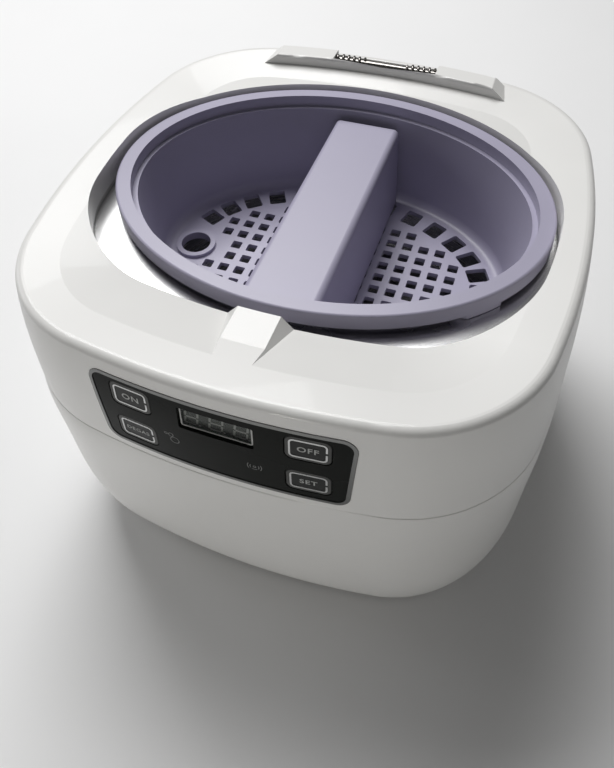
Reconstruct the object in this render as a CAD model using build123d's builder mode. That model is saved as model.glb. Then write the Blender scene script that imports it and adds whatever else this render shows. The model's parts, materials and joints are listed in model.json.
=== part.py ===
from build123d import *

import os
from math import asin, atan, atan2, cos, degrees, pi, sin, sqrt

# Household ultrasonic cleaner, lid unclipped. Millimetres, +Z up, front towards -Y.
# The origin is the middle of the footprint, on the surface that the feet stand on.

# ---------------------------------------------------------------- driving dimensions
# Plan shape of the housing at its top edge: bowed ends and sides, round corners.
TOP_HALF_W = 100.0
TOP_HALF_D = 100.7
END_BOW_R = 324.0
SIDE_BOW_R = 295.0
CORNER_R = 51.7
BODY_H = 140.0
PART_Z = 95.0
WALL = 2.5
TOP_EDGE_R = 2.5
SEAM_CHAMFER = 0.35
# How far a prism that cuts the front wall starts ahead of it, and how deep it runs.
PRISM_AHEAD = 20.0
PRISM_DEPTH = 50.0
# Overlap that joins two masses of one piece.
WELD = 0.5
LIP_T = 1.1
LIP_H = 3.0
FIT = 0.1
# How far each level of the outside stands in from the top edge (minus is outwards).
BASE_Z = 2.5
LOWER_LEVELS = ((BASE_Z, 11.0), (8.0, 8.2), (17.0, 4.2), (31.0, 0.2), (53.0, -1.9), (77.0, -2.9),
                (PART_Z, -2.7))
UPPER_LEVELS = ((PART_Z, -2.7), (115.0, -2.3), (128.0, -1.5), (BODY_H, 0.0))

# Deck, which falls a little towards its opening. The opening follows the basket's oval at the
# back and is squarer in front, where the finger scoops run down to it.
DISH_INSET = 3.0
DISH_DROP = 3.0
DISH_RUN = 20.0
OPEN_GAP = 1.6
OPEN_FRONT = 71.9
OPEN_END_R = 272.0
OPEN_SIDE_R = 200.0
OPEN_CORNER_R = 48.0
SCOOP_BAND = 8.6
SCOOP_DEPTH = 9.0
SCOOP_RUN = 32.0
SCOOP_BACK_Y = -16.0
RIDGE_HALF_W = 5.2
RIDGE_FLANK = 7.5
SEAT_Z = 128.5
SEAT_W = 7.0
SEAT_T = 2.0

# Hinge rib at the back of the deck, with the pin and spring in its notch.
RIB_HALF_TOP = 50.0
RIB_HALF_BASE = 57.0
RIB_INSET = 3.6
RIB_W = 9.4
RIB_H = 3.2
RIB_ROOT = 2.0
NOTCH_HALF = 24.0
NOTCH_DROP = 3.6
PIN_D = 3.8
PIN_OVERHANG = 2.5
SPRING_WIRE = 1.2
SPRING_TURNS = 5
SPRING_PITCH = 2.6
COIL_CLEAR = 0.12
RIB_EDGE_R = 1.0
RIB_Y = TOP_HALF_D - RIB_INSET - RIB_W / 2
TROUGH_RIM = 2.0

# Control panel on the front of the upper housing.
PANEL_Z = 116.0
PANEL_H = 35.0
PANEL_TOP_W = 91.0
PANEL_BOTTOM_W = 86.0
PANEL_CORNER_R = 5.0
PANEL_T = 1.4
FRAME_W = 1.3
FRAME_PROUD = 0.25
WINDOW_W = 25.6
WINDOW_H = 9.8
WINDOW_Z = 124.4
WINDOW_SINK = 0.9
KEY_X = 30.0
KEY_Z = (125.2, 108.2)
KEY_W = 14.6
KEY_H = 10.6
KEY_R = 2.4
KEY_GAP = 0.3
KEY_SINK = 0.15
KEY_TRAVEL = 0.8
KEY_T = 2.4
CUT_HALF_W = 38.6
CUT_HALF_H = 14.6
BOARD_Y = -92.0
BOARD_T = 1.6
BOARD_HALF_W = 43.5
BOARD_H = 30.0
SWITCH_SIZE = 6.0
SWITCH_H = 3.6
PLUNGER_D = 3.4
PLUNGER_H = 1.3
DIGIT_PITCH = 8.5
DISPLAY_W = 3 * DIGIT_PITCH
DISPLAY_H = 11.5
DISPLAY_T = 7.8
LAMP_D = 3.0
LAMP_AT = ((-15.5, 111.7), (12.4, 110.0))
CONTROL_SCREW_D = 2.2
CONTROL_BOSS_D = 5.0
CONTROL_SCREW_L = 6.0
CONTROL_SCREW_X = 41.0
CONTROL_SCREW_Z = (105.0, 127.0)

# Tank, gasket and clamps.
TANK_Y = 8.5
TANK_HALF_W = 83.0
TANK_HALF_D = 63.0
TANK_FLOOR_HALF_W = 78.0
TANK_FLOOR_HALF_D = 58.0
TANK_FLOOR_Z = 50.0
TANK_FLOOR_R = 10.0
TANK_T = 0.8
FLANGE_W = 4.0
GASKET_T = 2.0
CLAMP_L = 19.0
CLAMP_W = 12.0
CLAMP_T = 1.5
CLAMP_X = 30.0
CLAMP_OUT = 7.6
CLAMP_BOSS_D = 7.0
CLAMP_SCREW_L = 6.4

# Basket and watch stand.
RIM_HALF_W = 87.6
RIM_HALF_D = 67.0
RIM_TOP_Z = 135.4
RIM_T = 2.0
SKIRT_H = 6.4
BASKET_HALF_W = 81.8
BASKET_HALF_D = 61.8
BASKET_FLOOR_HALF_W = 76.8
BASKET_FLOOR_HALF_D = 56.8
BASKET_FLOOR_Z = 90.0
BASKET_FLOOR_T = 2.2
BASKET_T = 1.8
BASKET_FLOOR_R = 6.0
REST_CLEAR = 0.3
GRID_PITCH = 7.3
GRID_HOLE = 4.4
STAND_HALF_W = 14.5
STAND_HALF_L = 50.6
STAND_END_LEAN = 4.5
STAND_TOP_Z = 127.0
STAND_T = 2.2
STAND_CLEAR = 0.4
STAND_LEAN = 2.0

GRID_HALF_W = 56.0
GRID_HALF_D = 36.5
RING_HALF_W = 65.0
RING_HALF_D = 45.0
RING_COUNT = 30
RING_HOLE_W = 7.6
RING_HOLE_D = 9.0
PORT_X = -61.0
PORT_Y = 3.0
PORT_D = 13.0
PORT_LIP = 2.2
PORT_H = 1.6
BAND_H = 7.0
BAND_OUT = 1.4
RIM_EDGE_R = 0.9
REST_Y = 40.0
REST_L = 10.0

# Transducers under the tank floor.
DUCER_X = 34.0
HORN_D_TOP = 38.0
HORN_D_LOW = 30.0
HORN_H = 17.0
PIEZO_D = 30.0
PIEZO_BORE = 12.0
PIEZO_T = 3.0
ELECTRODE_T = 0.4
BACK_MASS_H = 9.0
BOLT_D = 8.0
BOLT_HEAD_D = 13.0
BOLT_HEAD_H = 5.0
BOLT_IN_HORN = 10.0
TAB_W = 3.0
TAB_L = 4.0
LEAD_GAP = 8.0

# Driver board and what it carries.
DRIVER_HALF_W = 62.0
DRIVER_Y = (-78.0, -20.0)
DRIVER_Z = 11.0
POST_D = 7.0
HEADER_Y = -26.0
RIBBON_Y = -70.0
RIBBON_Z = 104.0
RIBBON_TURN_Y = -80.0
RIBBON_W = 16.0
RIBBON_T = 0.8
LEAD_D = 2.4
THIN_LEAD_D = 1.6
LEAD_END_X = 5.0
SCREW_D = 2.9
BOARD_SCREW_L = 6.6

# Components on the driver board. Blocks: x, y, width, depth, height, top chamfer.
BLOCKS = {"mains_header": (0.0, HEADER_Y, 16.0, 9.0, 11.0, 0.6),
          "transducer_header": (0.0, HEADER_Y - 14.0, 16.0, 9.0, 9.0, 0.6),
          "panel_header": (0.0, RIBBON_Y, 20.0, 7.0, 7.0, 0.6),
          "filter_choke": (DRIVER_HALF_W - 16.0, DRIVER_Y[1] - 16.0, 18.0, 16.0, 19.0, 1.5)}
HEADER_H = BLOCKS["mains_header"][4]
CORE_X = -30.0
CORE_Y = -52.0
BOBBIN_W = 28.0
BOBBIN_D = 24.0
BOBBIN_T = 3.0
WINDING_W = 20.0
WINDING_D = 26.0
WINDING_H = 17.0
CORE_LEG = 6.0
CORE_D = 13.0
CAP_X = DRIVER_HALF_W - 16.0
CAP_Y = -58.0
CAP_D = 18.0
CAP_H = 30.0
CAP_EDGE_R = 1.2
SINK_X = 24.0
SINK_Y = -64.0
SINK_T = 4.0
SINK_L = 24.0
SINK_H = 28.0
FIN_L = 8.0
FIN_T = 1.4
FIN_PITCH = 5.0
FIN_COUNT = 5
CASE_W = 10.0
CASE_H = 15.0
CASE_T = 4.5
CASE_Z = 14.0
CASE_PITCH = 12.0
LEG_W = 0.9
LEG_T = 0.7
LEG_H = 7.0
LEG_PITCH = 2.5
FUSE_X = -34.0
FUSE_Y = -29.0
FUSE_Z = 6.0
FUSE_D = 5.2
FUSE_L = 20.0
CLIP_W = 3.0
CLIP_D = 7.0
CLIP_H = 8.6
CLIP_SPAN = 14.0

# Inlet at the back, for a two pin figure-8 lead.
INLET_Z = 34.0
INLET_FACE_W = 30.0
INLET_FACE_H = 18.0
INLET_BODY_W = 22.0
INLET_BODY_H = 13.0
INLET_DEPTH = 20.0
INLET_SETBACK = 5.1
INLET_PAD_T = 5.0
INLET_PAD_RIM = 4.0
SLOT_8_D = 8.3
PIN_SPACING = 8.8
INLET_PIN_D = 2.4
INLET_PIN_L = 9.0
INLET_FACE_T = 2.0
INLET_SLOT_L = 13.0

# Housing screws, feet and vents.
BASE_EDGE_R = 1.5
HEAD_D = 5.6
HEAD_H = 2.4
VENT_Y = 56.0
VENT_PITCH = 8.0
VENT_COUNT = 7
VENT_L = 34.0
VENT_W = 3.0
FOOT_NAMES = ("back_right", "back_left", "front_left", "front_right")
BOSS_X = 67.0
BOSS_Y = 68.0
BOSS_D = 9.0
BORE_D = 6.4
BORE_TOP_Z = 78.0
HOUSING_SCREW_L = 28.0
FOOT_X = 52.0
FOOT_Y = 54.0
FOOT_D = 16.0
FOOT_SINK = 1.2

os.makedirs("parts", exist_ok=True)


# ---------------------------------------------------------------- shared geometry
def oval_arcs(half_w, half_d, end_r, side_r, corner_r):
    """Corner arc centre and the half angles of the end and side arcs, all tangent."""
    end_c = Vector(0, end_r - half_d)
    side_c = Vector(half_w - side_r, 0)
    reach_end = end_r - corner_r
    reach_side = side_r - corner_r
    gap = (side_c - end_c).length
    along = (gap**2 + reach_end**2 - reach_side**2) / (2 * gap)
    aside = sqrt(reach_end**2 - along**2)
    unit = (side_c - end_c) * (1 / gap)
    corner = end_c + unit * along + Vector(-unit.Y, unit.X) * aside
    end_half = degrees(asin(corner.X / reach_end))
    side_half = degrees(asin(-corner.Y / reach_side))
    return {"end": end_c.Y, "side": side_c.X, "corner": corner, "end_r": end_r, "side_r": side_r,
            "corner_r": corner_r, "end_half": end_half, "side_half": side_half}


HOUSING = oval_arcs(TOP_HALF_W, TOP_HALF_D, END_BOW_R, SIDE_BOW_R, CORNER_R)
OPENING = oval_arcs(RIM_HALF_W + OPEN_GAP, OPEN_FRONT, OPEN_END_R, OPEN_SIDE_R, OPEN_CORNER_R)


def oval(shape, grow=0.0, y=0.0):
    """Flat face of eight tangent arcs."""
    turn = 90 - shape["end_half"] - shape["side_half"]
    corner_x = shape["corner"].X
    corner_y = -shape["corner"].Y
    with BuildSketch() as face:
        with BuildLine():
            for side, start in ((1, -90), (-1, 90)):
                CenterArc((0, y + side * shape["end"]), shape["end_r"] + grow,
                          start - shape["end_half"], 2 * shape["end_half"])
            for side, start in ((1, 0), (-1, 180)):
                CenterArc((side * shape["side"], y), shape["side_r"] + grow,
                          start - shape["side_half"], 2 * shape["side_half"])
            for sx, sy, start in ((1, 1, shape["side_half"]), (-1, 1, 90 + shape["end_half"]),
                                  (-1, -1, 180 + shape["side_half"]),
                                  (1, -1, 270 + shape["end_half"])):
                CenterArc((sx * corner_x, y + sy * corner_y), shape["corner_r"] + grow, start, turn)
        make_face()
    return face.sketch


def opening(grow=0.0):
    """Face of the deck opening: oval of the basket behind, squarer oval in front."""
    half_w = RIM_HALF_W + OPEN_GAP + grow
    with BuildSketch() as face:
        add(oval(OPENING, grow, TANK_Y))
        with Locations((0, TANK_Y)):
            Rectangle(4 * half_w, 4 * half_w, align=(Align.CENTER, Align.MIN), mode=Mode.SUBTRACT)
            Ellipse(half_w, RIM_HALF_D + OPEN_GAP + grow)
    return face.sketch


def housing_form(levels, shrink=0.0):
    """The housing's outer form between its levels, drawn in by shrink all round."""
    with BuildPart() as form:
        for z, inset in levels:
            with BuildSketch(Plane.XY.offset(z)):
                add(oval(HOUSING, -inset - shrink))
        loft()
    return form.part


def ellipse_form(low, high):
    """Tapered oval form between two levels of (z, half_w, half_d)."""
    with BuildPart() as form:
        for z, half_w, half_d in (low, high):
            with BuildSketch(Plane.XY.offset(z)):
                with Locations((0, TANK_Y)):
                    Ellipse(half_w, half_d)
        loft()
    return form.part


def save(builder, name):
    """Label a finished piece and write its STEP file."""
    builder.part.label = name
    export_step(builder.part, "parts/" + name + ".step")


def corner_points(x, y):
    return [(x, y), (-x, y), (-x, -y), (x, -y)]


def inset_at(z):
    """How far in the outside stands at a height of the upper housing."""
    levels = UPPER_LEVELS
    for (z0, i0), (z1, i1) in zip(levels, levels[1:]):
        if z <= z1:
            return i0 + (i1 - i0) * (z - z0) / (z1 - z0)
    return levels[-1][1]


def front_y(x, z):
    """Front surface of the upper housing at a point of the panel."""
    bow = END_BOW_R - inset_at(z)
    return HOUSING["end"] - sqrt(bow**2 - x**2)


def clear_of_port(x, y, size):
    """Whether a hole of the basket floor misses the round port and its lip."""
    reach = PORT_D / 2 + PORT_LIP + size * sqrt(2) / 2
    return (x - PORT_X) ** 2 + (y - PORT_Y) ** 2 > reach**2


SHELL_TOP_Z = BODY_H - WALL
FRONT_PLANE = Plane(origin=(0, -TOP_HALF_D - PRISM_AHEAD, 0), x_dir=(1, 0, 0), z_dir=(0, -1, 0))


def panel_prism(grow=0.0):
    """Panel outline, a trapezoid narrower at its bottom, carried back through the wall."""
    half_h = PANEL_H / 2
    with BuildPart() as prism:
        with BuildSketch(FRONT_PLANE):
            with BuildLine():
                Polyline((-PANEL_TOP_W / 2 - grow, PANEL_Z + half_h + grow),
                         (PANEL_TOP_W / 2 + grow, PANEL_Z + half_h + grow),
                         (PANEL_BOTTOM_W / 2 + grow, PANEL_Z - half_h - grow),
                         (-PANEL_BOTTOM_W / 2 - grow, PANEL_Z - half_h - grow), close=True)
            outline = make_face()
            fillet(outline.vertices(), PANEL_CORNER_R + grow)
        extrude(amount=-PRISM_DEPTH)
    return prism.part


def box_prism(x, z, width, height, corner_r):
    """Rounded rectangle of the panel, carried back through the wall."""
    with BuildPart() as prism:
        with BuildSketch(FRONT_PLANE):
            with Locations((x, z)):
                RectangleRounded(width, height, corner_r)
        extrude(amount=-PRISM_DEPTH)
    return prism.part


def skin(outside, inside):
    """Layer of the front wall between two depths under the outside surface."""
    with BuildPart() as layer:
        add(housing_form(UPPER_LEVELS, outside))
        add(housing_form(UPPER_LEVELS, inside), mode=Mode.SUBTRACT)
    return layer.part


KEYS = {"button_on": (-KEY_X, KEY_Z[0]), "button_degas": (-KEY_X, KEY_Z[1]),
        "button_off": (KEY_X, KEY_Z[0]), "button_set": (KEY_X, KEY_Z[1])}
SCOOP_TAPER = degrees(atan(SCOOP_RUN / SCOOP_DEPTH))
FLANGE_TOP_Z = SEAT_Z - GASKET_T
PIN_Z = BODY_H + RIB_H - (RIB_H + NOTCH_DROP) / 2
DRIVER_POSTS = [(side * (DRIVER_HALF_W - 4), y) for side in (-1, 1)
                for y in (DRIVER_Y[0] + 4, DRIVER_Y[1] - 4)]
INLET_FACE_Y = TOP_HALF_D - INLET_SETBACK
CLAMP_Z = SEAT_Z - GASKET_T - TANK_T - CLAMP_T
CLAMP_AT = [(side_x * CLAMP_X, y) for side_x in (-1, 1)
            for y in (TANK_Y - OPEN_FRONT - CLAMP_OUT, TANK_Y + RIM_HALF_D + CLAMP_OUT)]
CONTROL_SCREWS = [(side * CONTROL_SCREW_X, z) for side in (-1, 1) for z in CONTROL_SCREW_Z]
GRID_SPOTS = [(col * GRID_PITCH, TANK_Y + row * GRID_PITCH) for row in range(-5, 6)
              for col in range(-8, 9)
              if (col * GRID_PITCH / GRID_HALF_W) ** 2 + (row * GRID_PITCH / GRID_HALF_D) ** 2 <= 1
              and clear_of_port(col * GRID_PITCH, TANK_Y + row * GRID_PITCH, GRID_HOLE)]
RING_SPOTS = []
for step in range(RING_COUNT):
    angle = 2 * pi * (step + 0.5) / RING_COUNT
    ring_x = RING_HALF_W * cos(angle)
    ring_y = RING_HALF_D * sin(angle)
    if clear_of_port(ring_x, TANK_Y + ring_y, RING_HOLE_D):
        RING_SPOTS.append((ring_x, TANK_Y + ring_y,
                           degrees(atan2(ring_y / RING_HALF_D**2, ring_x / RING_HALF_W**2)) + 90))

# ---------------------------------------------------------------- dished deck and finger scoops
with BuildPart() as dish:
    with BuildSketch(Plane.XY.offset(BODY_H)):
        add(oval(HOUSING, -DISH_INSET))
    extrude(amount=-DISH_DROP, taper=degrees(atan(DISH_RUN / DISH_DROP)))

with BuildPart() as scoops:
    with BuildSketch(Plane.XY.offset(BODY_H)):
        add(oval(HOUSING, -SCOOP_BAND))
    extrude(amount=-SCOOP_DEPTH, taper=SCOOP_TAPER)
    with BuildSketch(Plane.YZ.offset(-TOP_HALF_W)):
        with BuildLine():
            Polyline((SCOOP_BACK_Y - 10, BODY_H + 1), (TOP_HALF_D, BODY_H + 1),
                     (TOP_HALF_D, SEAT_Z - 1), (SCOOP_BACK_Y + 10, SEAT_Z - 1), close=True)
        make_face()
    extrude(amount=2 * TOP_HALF_W, mode=Mode.SUBTRACT)
    with BuildSketch(Plane.XZ.offset(-TOP_HALF_D)):
        with BuildLine():
            Polyline((-RIDGE_HALF_W, BODY_H), (RIDGE_HALF_W, BODY_H),
                     (RIDGE_HALF_W + RIDGE_FLANK, BODY_H - SCOOP_DEPTH),
                     (-RIDGE_HALF_W - RIDGE_FLANK, BODY_H - SCOOP_DEPTH), close=True)
        make_face()
    extrude(amount=2 * TOP_HALF_D, mode=Mode.SUBTRACT)

# ---------------------------------------------------------------- hinge rib
# Follows the bowed back edge, with sloped ends, and widens into a trough under the notch.
with BuildPart() as rib:
    with BuildSketch(Plane.XY.offset(BODY_H - RIB_ROOT)):
        add(oval(HOUSING, -RIB_INSET))
        add(oval(HOUSING, -RIB_INSET - RIB_W), mode=Mode.SUBTRACT)
    extrude(amount=RIB_ROOT + RIB_H)
    with BuildSketch(Plane.XZ.offset(-TOP_HALF_D)):
        with BuildLine():
            Polyline((-RIB_HALF_BASE, BODY_H - RIB_ROOT), (RIB_HALF_BASE, BODY_H - RIB_ROOT),
                     (RIB_HALF_TOP, BODY_H + RIB_H), (-RIB_HALF_TOP, BODY_H + RIB_H), close=True)
        make_face()
    extrude(amount=TOP_HALF_D, mode=Mode.INTERSECT)
    fillet(rib.faces().sort_by(Axis.Z)[-1].edges(), RIB_EDGE_R)

with BuildPart() as trough:
    with BuildSketch(Plane.XY.offset(BODY_H - RIB_ROOT)):
        with Locations((0, RIB_Y)):
            Rectangle(2 * (NOTCH_HALF + PIN_OVERHANG + TROUGH_RIM), RIB_W + 2 * TROUGH_RIM)
        add(oval(HOUSING, -WALL), mode=Mode.INTERSECT)
    extrude(amount=RIB_ROOT - NOTCH_DROP - WALL)

# ---------------------------------------------------------------- upper housing
cavity = housing_form(((PART_Z - 1, UPPER_LEVELS[0][1]),) + UPPER_LEVELS[1:-1]
                      + ((SHELL_TOP_Z, 0.0),), WALL)
panel_recess = skin(-5.0, PANEL_T) & panel_prism(FIT)
panel_cut = box_prism(0, PANEL_Z, 2 * CUT_HALF_W, 2 * CUT_HALF_H, 3.0)

with BuildPart() as upper_housing:
    add(housing_form(UPPER_LEVELS))
    fillet(upper_housing.faces().sort_by(Axis.Z)[-1].edges(), TOP_EDGE_R)
    chamfer(upper_housing.faces().sort_by(Axis.Z)[0].edges(), SEAM_CHAMFER)
    add(cavity, mode=Mode.SUBTRACT)
    # Rebate for the lower housing's lip.
    with BuildSketch(Plane.XY.offset(PART_Z)):
        add(oval(HOUSING, -UPPER_LEVELS[0][1] - WALL + LIP_T + FIT))
    extrude(amount=LIP_H + FIT, mode=Mode.SUBTRACT)
    # Thick floor under the dish and the finger scoops.
    with BuildSketch(Plane.XY.offset(SHELL_TOP_Z)):
        add(oval(HOUSING, -DISH_INSET))
    extrude(amount=-DISH_DROP, taper=degrees(atan(DISH_RUN / DISH_DROP)))
    with BuildSketch(Plane.XY.offset(SHELL_TOP_Z)):
        add(oval(HOUSING, -SCOOP_BAND))
    extrude(amount=-SCOOP_DEPTH, taper=SCOOP_TAPER)
    # Seat ring and collar round the opening.
    with BuildSketch(Plane.XY.offset(SEAT_Z)):
        add(opening(SEAT_W))
    extrude(amount=SEAT_T)
    with BuildSketch(Plane.XY.offset(SEAT_Z)):
        add(opening(WALL))
    extrude(amount=SHELL_TOP_Z - SEAT_Z)
    # Screw bosses at the corners, and the four that carry the control board.
    with BuildSketch(Plane.XY.offset(PART_Z)):
        with Locations(*corner_points(BOSS_X, BOSS_Y)):
            Circle(BOSS_D / 2)
    extrude(amount=SHELL_TOP_Z - PART_Z)
    with BuildSketch(Plane.XZ.offset(-BOARD_Y)):
        with Locations(*CONTROL_SCREWS):
            Circle(CONTROL_BOSS_D / 2)
    extrude(amount=6.6)
    # Bosses for the tank clamps, kept under the deck.
    with BuildSketch(Plane.XY.offset(FLANGE_TOP_Z - TANK_T)):
        with Locations(*CLAMP_AT):
            Circle(CLAMP_BOSS_D / 2)
    extrude(amount=SHELL_TOP_Z - FLANGE_TOP_Z + TANK_T)
    # Opening, scoops, panel recess and the cut behind it.
    with BuildSketch(Plane.XY.offset(SEAT_Z - 1)):
        add(opening(0))
    extrude(amount=BODY_H + 2 - SEAT_Z, mode=Mode.SUBTRACT)
    add(dish.part, mode=Mode.SUBTRACT)
    add(scoops.part, mode=Mode.SUBTRACT)
    add(panel_recess, mode=Mode.SUBTRACT)
    add(panel_cut, mode=Mode.SUBTRACT)
    # Pilot holes for the housing and control board screws.
    with BuildSketch(Plane.XY.offset(PART_Z)):
        with Locations(*corner_points(BOSS_X, BOSS_Y)):
            Circle(SCREW_D / 2)
    extrude(amount=HOUSING_SCREW_L - (PART_Z - BORE_TOP_Z) + 1, mode=Mode.SUBTRACT)
    with BuildSketch(Plane.XY.offset(FLANGE_TOP_Z - TANK_T)):
        with Locations(*CLAMP_AT):
            Circle(SCREW_D / 2)
    extrude(amount=CLAMP_SCREW_L - CLAMP_T, mode=Mode.SUBTRACT)
    with BuildSketch(Plane.XZ.offset(-BOARD_Y)):
        with Locations(*CONTROL_SCREWS):
            Circle(CONTROL_SCREW_D / 2)
    extrude(amount=CONTROL_SCREW_L - BOARD_T, mode=Mode.SUBTRACT)
    # Hinge rib, its notch and the pin's two blind holes.
    add(trough.part)
    add(rib.part)
    with BuildSketch(Plane.XZ.offset(-RIB_Y - RIB_W / 2)):
        with Locations((0, PIN_Z)):
            Rectangle(2 * NOTCH_HALF, RIB_H + NOTCH_DROP)
    extrude(amount=RIB_W, mode=Mode.SUBTRACT)
    with BuildSketch(Plane.YZ.offset(-NOTCH_HALF - PIN_OVERHANG)):
        with Locations((RIB_Y, PIN_Z)):
            Circle(PIN_D / 2)
    extrude(amount=2 * (NOTCH_HALF + PIN_OVERHANG), mode=Mode.SUBTRACT)
save(upper_housing, "upper_housing")

# ---------------------------------------------------------------- lower housing
# Thick pad of the back wall that the inlet is let into.
with BuildPart() as inlet_pad:
    with BuildSketch(Plane.XZ.offset(-INLET_FACE_Y + INLET_PAD_T)):
        with Locations((0, INLET_Z)):
            Rectangle(INLET_FACE_W + 2 * INLET_PAD_RIM, INLET_FACE_H + 2 * INLET_PAD_RIM)
    extrude(amount=-INLET_PAD_T - 2 * INLET_SETBACK)
    add(housing_form(LOWER_LEVELS), mode=Mode.INTERSECT)

with BuildPart() as lower_housing:
    add(housing_form(LOWER_LEVELS))
    chamfer(lower_housing.faces().sort_by(Axis.Z)[-1].edges(), SEAM_CHAMFER)
    fillet(lower_housing.faces().sort_by(Axis.Z)[0].edges(), BASE_EDGE_R)
    add(housing_form(((BASE_Z + WALL, LOWER_LEVELS[1][1]),) + LOWER_LEVELS[2:-1]
                     + ((PART_Z + 1, LOWER_LEVELS[-1][1]),), WALL), mode=Mode.SUBTRACT)
    # Lip that stands up inside the upper housing.
    with BuildSketch(Plane.XY.offset(PART_Z - LIP_H)):
        add(oval(HOUSING, -LOWER_LEVELS[-1][1] - WALL + LIP_T))
        add(oval(HOUSING, -LOWER_LEVELS[-1][1] - WALL), mode=Mode.SUBTRACT)
    extrude(amount=2 * LIP_H)
    # Screw bosses, driver board posts, and the pad behind the inlet.
    with BuildSketch(Plane.XY.offset(BASE_Z + WALL - WELD)):
        with Locations(*corner_points(BOSS_X, BOSS_Y)):
            Circle(BOSS_D / 2)
    extrude(amount=PART_Z - BASE_Z - WALL + WELD)
    with BuildSketch(Plane.XY.offset(BASE_Z + WALL - WELD)):
        with Locations(*DRIVER_POSTS):
            Circle(POST_D / 2)
    extrude(amount=DRIVER_Z - BASE_Z - WALL + WELD)
    add(inlet_pad.part)
    # Inlet pocket and the hole through it.
    with BuildSketch(Plane.XZ.offset(-INLET_FACE_Y)):
        with Locations((0, INLET_Z)):
            RectangleRounded(INLET_FACE_W + 2 * FIT, INLET_FACE_H + 2 * FIT, 2)
    extrude(amount=-2 * INLET_SETBACK, mode=Mode.SUBTRACT)
    with BuildSketch(Plane.XZ.offset(-INLET_FACE_Y)):
        with Locations((0, INLET_Z)):
            Rectangle(INLET_BODY_W + 2 * FIT, INLET_BODY_H + 2 * FIT)
    extrude(amount=INLET_PAD_T, mode=Mode.SUBTRACT)
    # Screw bores from below, pilots, foot recesses and floor vents.
    with BuildSketch(Plane.XY.offset(BASE_Z)):
        with Locations(*corner_points(BOSS_X, BOSS_Y)):
            Circle(BORE_D / 2)
    extrude(amount=BORE_TOP_Z - BASE_Z, mode=Mode.SUBTRACT)
    with BuildSketch(Plane.XY.offset(BORE_TOP_Z)):
        with Locations(*corner_points(BOSS_X, BOSS_Y)):
            Circle(SCREW_D / 2 + FIT)
    extrude(amount=PART_Z - BORE_TOP_Z, mode=Mode.SUBTRACT)
    with BuildSketch(Plane.XY.offset(DRIVER_Z)):
        with Locations(*DRIVER_POSTS):
            Circle(SCREW_D / 2)
    extrude(amount=-BOARD_SCREW_L + BOARD_T, mode=Mode.SUBTRACT)
    with BuildSketch(Plane.XY.offset(BASE_Z)):
        with Locations(*corner_points(FOOT_X, FOOT_Y)):
            Circle(FOOT_D / 2)
    extrude(amount=FOOT_SINK, mode=Mode.SUBTRACT)
    with BuildSketch(Plane.XY.offset(BASE_Z)):
        with Locations((0, VENT_Y)):
            with GridLocations(VENT_PITCH, 0, VENT_COUNT, 1):
                SlotOverall(VENT_L, VENT_W, rotation=90)
    extrude(amount=WALL, mode=Mode.SUBTRACT)
save(lower_housing, "lower_housing")

# ---------------------------------------------------------------- feet and housing screws
for index, (x, y) in enumerate(corner_points(FOOT_X, FOOT_Y)):
    with BuildPart() as foot:
        with BuildSketch():
            with Locations((x, y)):
                Circle(FOOT_D / 2)
        extrude(amount=BASE_Z + FOOT_SINK)
        chamfer(foot.faces().sort_by(Axis.Z)[0].edges(), 0.8)
    save(foot, "foot_" + FOOT_NAMES[index])

with BuildPart() as housing_screws:
    for x, y in corner_points(BOSS_X, BOSS_Y):
        with BuildSketch(Plane.XY.offset(BORE_TOP_Z - HEAD_H)):
            with Locations((x, y)):
                Circle(HEAD_D / 2)
        extrude(amount=HEAD_H)
        with BuildSketch(Plane.XY.offset(BORE_TOP_Z - HEAD_H)):
            with Locations((x, y)):
                Rectangle(3.2, 0.7)
                Rectangle(0.7, 3.2)
        extrude(amount=1.2, mode=Mode.SUBTRACT)
        with BuildSketch(Plane.XY.offset(BORE_TOP_Z)):
            with Locations((x, y)):
                Circle(SCREW_D / 2)
        extrude(amount=HOUSING_SCREW_L)
save(housing_screws, "housing_screws")

# ---------------------------------------------------------------- hinge pin and spring
with BuildPart() as hinge_pin:
    with BuildSketch(Plane.YZ.offset(-NOTCH_HALF - PIN_OVERHANG)):
        with Locations((RIB_Y, PIN_Z)):
            Circle(PIN_D / 2)
    extrude(amount=2 * (NOTCH_HALF + PIN_OVERHANG))
save(hinge_pin, "hinge_pin")

coil_r = PIN_D / 2 + COIL_CLEAR + SPRING_WIRE / 2
coil_l = SPRING_PITCH * SPRING_TURNS
with BuildPart() as hinge_spring:
    for start in (-NOTCH_HALF + 1, NOTCH_HALF - 1 - coil_l):
        with BuildLine() as coil:
            Helix(pitch=SPRING_PITCH, height=coil_l, radius=coil_r,
                  center=(start, RIB_Y, PIN_Z), direction=(1, 0, 0))
        with BuildSketch(coil.line ^ 0):
            Circle(SPRING_WIRE / 2)
        sweep(path=coil.line, is_frenet=True)
save(hinge_spring, "hinge_spring")

# ---------------------------------------------------------------- tank, gasket, clamps
with BuildPart() as tank_inside:
    add(ellipse_form((TANK_FLOOR_Z + TANK_T, TANK_FLOOR_HALF_W - TANK_T, TANK_FLOOR_HALF_D - TANK_T),
                     (FLANGE_TOP_Z, TANK_HALF_W - TANK_T, TANK_HALF_D - TANK_T)))
    fillet(tank_inside.faces().sort_by(Axis.Z)[0].edges(), TANK_FLOOR_R - TANK_T)

with BuildPart() as tank:
    add(ellipse_form((TANK_FLOOR_Z, TANK_FLOOR_HALF_W, TANK_FLOOR_HALF_D),
                     (FLANGE_TOP_Z, TANK_HALF_W, TANK_HALF_D)))
    fillet(tank.faces().sort_by(Axis.Z)[0].edges(), TANK_FLOOR_R)
    with BuildSketch(Plane.XY.offset(FLANGE_TOP_Z)):
        add(opening(FLANGE_W))
    extrude(amount=-TANK_T)
    add(tank_inside.part, mode=Mode.SUBTRACT)
save(tank, "tank")

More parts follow.
